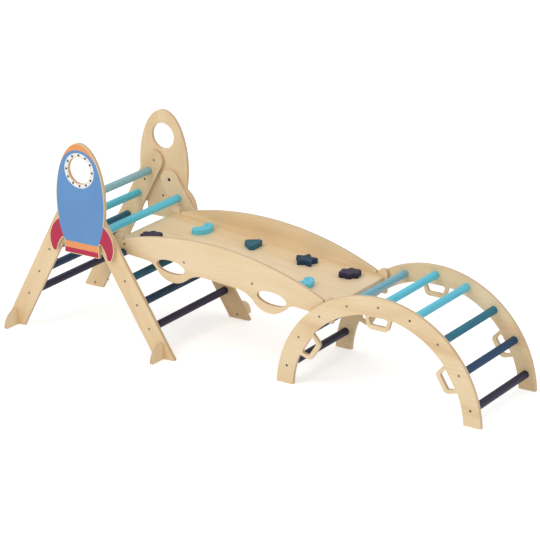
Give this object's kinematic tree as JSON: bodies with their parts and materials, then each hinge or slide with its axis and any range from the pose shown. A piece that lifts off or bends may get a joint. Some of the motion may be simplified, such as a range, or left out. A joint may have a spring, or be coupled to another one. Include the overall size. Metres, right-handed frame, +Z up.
{
  "type": "climbing triangle",
  "caption": "Folding climbing triangle with rocket-shaped side panels, bridged by a hooked ramp with climbing holds to a rung arch.",
  "frame": {"origin": "on the floor, under the middle of the whole set", "axes": "+X along the set from the folding frame to the arch, +Y across it to the side away from the picture's camera, +Z up"},
  "size_m": [2.2112, 0.7036, 0.838],
  "materials": {
    "birch_plywood": "clear satin lacquer",
    "painted_rocket": "satin paint on the outer face, bare birch inside",
    "sage_stain": "satin stain",
    "turquoise_stain": "satin stain",
    "teal_stain": "satin stain",
    "navy_stain": "satin stain",
    "plum_stain": "satin stain",
    "dark_steel": "dark zinc",
    "brass_insert": "machined"
  },
  "bodies": {
    "front_frame_and_arch": {"front_leg_right": "birch_plywood", "front_leg_left": "birch_plywood", "front_rung_1": "turquoise_stain", "front_rung_2": "teal_stain", "front_rung_3": "teal_stain", "front_rung_4": "navy_stain", "front_rung_5": "plum_stain", "front_rung_screws": "dark_steel", "front_foot_right": "birch_plywood", "front_foot_left": "birch_plywood", "front_foot_screws": "dark_steel", "arch_side_right": "birch_plywood", "arch_side_left": "birch_plywood", "arch_rung_1": "plum_stain", "arch_rung_2": "navy_stain", "arch_rung_3": "teal_stain", "arch_rung_4": "sage_stain", "arch_rung_5": "turquoise_stain", "arch_rung_6": "turquoise_stain", "arch_rung_7": "teal_stain", "arch_rung_8": "navy_stain", "arch_rung_9": "plum_stain", "arch_rung_screws": "dark_steel"},
    "rocket_frame": {"rocket_panel_right": "painted_rocket", "rocket_panel_left": "painted_rocket", "rear_leg_right": "birch_plywood", "rear_leg_left": "birch_plywood", "rear_rung_1": "sage_stain", "rear_rung_2": "turquoise_stain", "rear_rung_3": "teal_stain", "rear_rung_4": "navy_stain", "rear_rung_5": "plum_stain", "rear_rung_screws": "dark_steel", "rear_foot_right": "birch_plywood", "rear_foot_left": "birch_plywood", "rear_foot_screws": "dark_steel", "panel_screws": "dark_steel", "lock_inserts": "brass_insert", "hinge_bolts": "dark_steel"},
    "ramp": {"ramp_side_right": "birch_plywood", "ramp_side_left": "birch_plywood", "ramp_board": "birch_plywood", "ramp_screws": "dark_steel", "bean_hold_left": "turquoise_stain", "bean_hold_right": "turquoise_stain", "triangle_hold_left": "teal_stain", "triangle_hold_right": "teal_stain", "star_hold_left": "navy_stain", "star_hold_right": "navy_stain", "flower_hold_left": "plum_stain", "flower_hold_right": "plum_stain", "hold_screws": "dark_steel"}
  },
  "joints": [
    {"name": "fold", "type": "hinge", "parent": "front_frame_and_arch", "child": "rocket_frame", "pos_m": [-0.64587, 0, 0.547], "axis": [0, -1, 0], "range_deg": [0, 60]},
    {"name": "ramp_tilt", "type": "hinge", "parent": "front_frame_and_arch", "child": "ramp", "pos_m": [-0.54327, 0, 0.38471], "axis": [0, -1, 0], "range_deg": [0, 35]}
  ]
}
